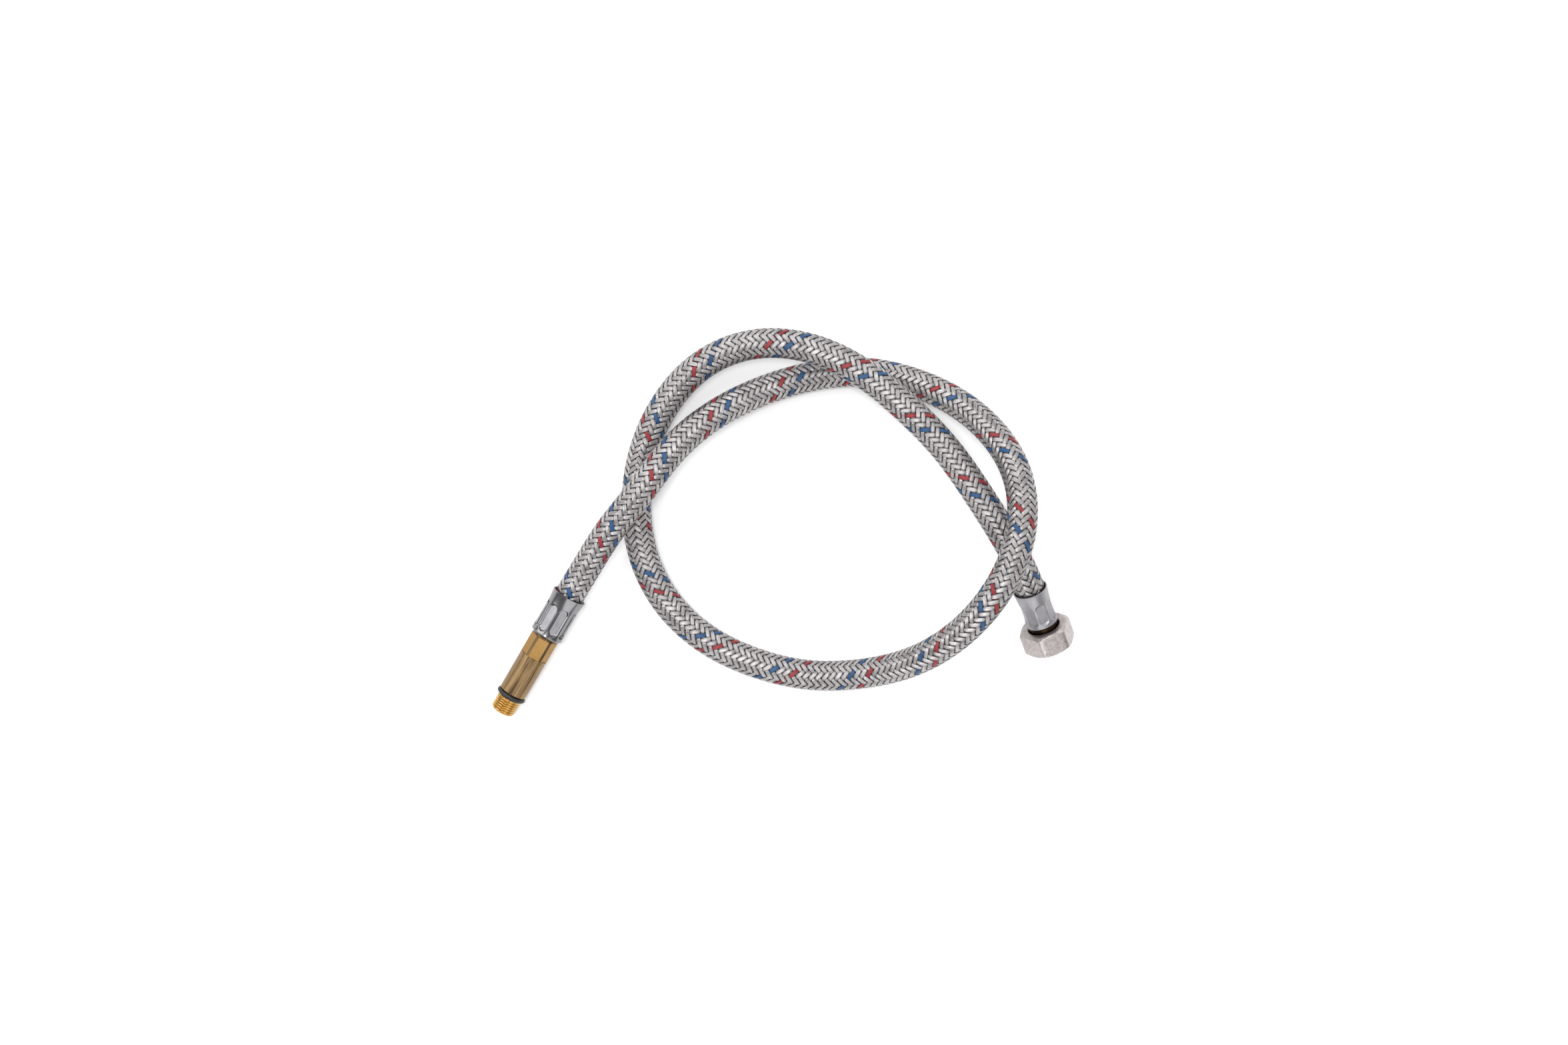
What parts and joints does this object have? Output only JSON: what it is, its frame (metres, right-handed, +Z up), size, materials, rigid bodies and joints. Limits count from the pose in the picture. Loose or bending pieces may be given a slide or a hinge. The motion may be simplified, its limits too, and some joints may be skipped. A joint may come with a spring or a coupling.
{
  "type": "braided supply line",
  "caption": "Flexible braided water hose lying in one loose overhand knot, with a crimped male tap tail on one end and a crimped swivel nut on the other.",
  "frame": {"origin": "on the surface that the line lies on, in the middle of the box that holds the two end fittings", "axes": "+Z up; +X from the male tail's side to the swivel nut's side; +Y from the fittings towards the knot's far side"},
  "size_m": [0.2351, 0.1562, 0.0447],
  "materials": {
    "steel_wire": "flat bundles of fine stainless wire, woven, with one red and one blue tracer",
    "black_rubber": "matt black rubber",
    "satin_steel": "pressed stainless steel, satin with bright edges",
    "brass": "turned brass, bare, flats milled matt",
    "nickel_plate": "warm grey nickel plate over brass, slightly pitted",
    "sealing_fibre": "flat black sealing washer"
  },
  "bodies": {
    "line": {"hose_braid": "steel_wire", "hose_liner": "black_rubber", "male_ferrule": "satin_steel", "male_nipple": "brass", "male_o_ring": "black_rubber", "nut_ferrule": "satin_steel", "nut_insert": "brass"},
    "nut_seal": {"sealing_washer": "sealing_fibre"},
    "nut": {"swivel_nut": "nickel_plate"}
  },
  "joints": [
    {"name": "nut_slide", "type": "slide", "parent": "line", "child": "nut_seal", "axis": [0.357, -0.8409, -0.4067], "range_m": [-0.0012, 0]},
    {"name": "nut_spin", "type": "hinge", "parent": "nut_seal", "child": "nut", "pos_m": [0.10412, 0.00911, 0.0138], "axis": [0.357, -0.8409, -0.4067], "continuous": true}
  ]
}
